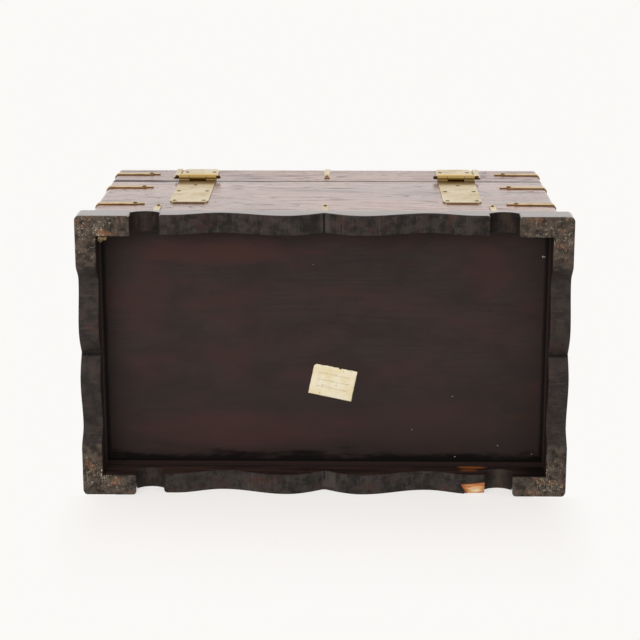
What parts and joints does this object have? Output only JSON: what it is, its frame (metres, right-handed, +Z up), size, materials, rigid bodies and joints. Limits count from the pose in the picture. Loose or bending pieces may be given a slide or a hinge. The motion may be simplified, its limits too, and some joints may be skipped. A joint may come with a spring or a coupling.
{
  "type": "wooden chest",
  "caption": "Dark wooden storage chest with a hinged lid, a shaped bracket plinth, brass strap hinges, corner straps, lock and end handles.",
  "frame": {"origin": "on the floor under the middle of the chest", "axes": "+X to the right as seen from the front, +Y to the back, where the hinges are, +Z up"},
  "size_m": [0.6206, 0.354, 0.3816],
  "materials": {
    "lacquered_wood": "worn dark lacquer over open grain",
    "plinth_wood": "worn dark stain",
    "bottom_wood": "dark red-brown stain",
    "brass": "polished, lightly tarnished",
    "dark_brass": "tarnished"
  },
  "bodies": {
    "carcase": {"plinth_front_apron": "plinth_wood", "plinth_back_apron": "plinth_wood", "plinth_left_apron": "plinth_wood", "plinth_right_apron": "plinth_wood", "front_board": "lacquered_wood", "back_board": "lacquered_wood", "left_board": "lacquered_wood", "right_board": "lacquered_wood", "bottom_board": "bottom_wood", "front_left_lower_corner_strap": "brass", "front_left_upper_corner_strap": "brass", "front_left_base_clip": "brass", "front_right_lower_corner_strap": "brass", "front_right_upper_corner_strap": "brass", "front_right_base_clip": "brass", "back_left_lower_corner_strap": "brass", "back_left_upper_corner_strap": "brass", "back_left_base_clip": "brass", "back_right_lower_corner_strap": "brass", "back_right_upper_corner_strap": "brass", "back_right_base_clip": "brass", "front_centre_base_clip": "brass", "back_centre_base_clip": "brass", "key_plate": "brass", "lock_case": "brass", "left_hinge_body_leaf": "brass", "right_hinge_body_leaf": "brass", "left_handle_front_post": "brass", "left_handle_back_post": "brass", "right_handle_front_post": "brass", "right_handle_back_post": "brass", "left_hinge_pin": "dark_brass", "right_hinge_pin": "dark_brass", "left_handle_front_nut": "dark_brass", "left_handle_back_nut": "dark_brass", "right_handle_front_nut": "dark_brass", "right_handle_back_nut": "dark_brass"},
    "lid": {"lid_top_board": "lacquered_wood", "lid_front_rail": "lacquered_wood", "lid_back_rail": "lacquered_wood", "lid_left_rail": "lacquered_wood", "lid_right_rail": "lacquered_wood", "front_left_lid_corner_strap": "brass", "front_right_lid_corner_strap": "brass", "back_left_lid_corner_strap": "brass", "back_right_lid_corner_strap": "brass", "front_left_lid_strap": "brass", "front_right_lid_strap": "brass", "back_left_lid_strap": "brass", "back_right_lid_strap": "brass", "back_centre_lid_strap": "brass", "left_hinge_lid_leaf": "brass", "right_hinge_lid_leaf": "brass", "lid_lock_link": "brass"},
    "lock_bolt": {"lock_bolt": "dark_brass"},
    "left_handle": {"left_handle_bail": "brass"},
    "right_handle": {"right_handle_bail": "brass"}
  },
  "joints": [
    {"name": "lid_hinge", "type": "hinge", "parent": "carcase", "child": "lid", "pos_m": [0, 0.1708, 0.2894], "axis": [-1, 0, 0], "range_deg": [0, 110]},
    {"name": "lock_bolt_slide", "type": "slide", "parent": "carcase", "child": "lock_bolt", "axis": [1, 0, 0], "range_m": [0, 0.009]},
    {"name": "left_handle_pivot", "type": "hinge", "parent": "carcase", "child": "left_handle", "pos_m": [-0.3028, 0, 0.19], "axis": [0, 1, 0], "range_deg": [0, 100]},
    {"name": "right_handle_pivot", "type": "hinge", "parent": "carcase", "child": "right_handle", "pos_m": [0.3028, 0, 0.19], "axis": [0, -1, 0], "range_deg": [0, 100]}
  ]
}
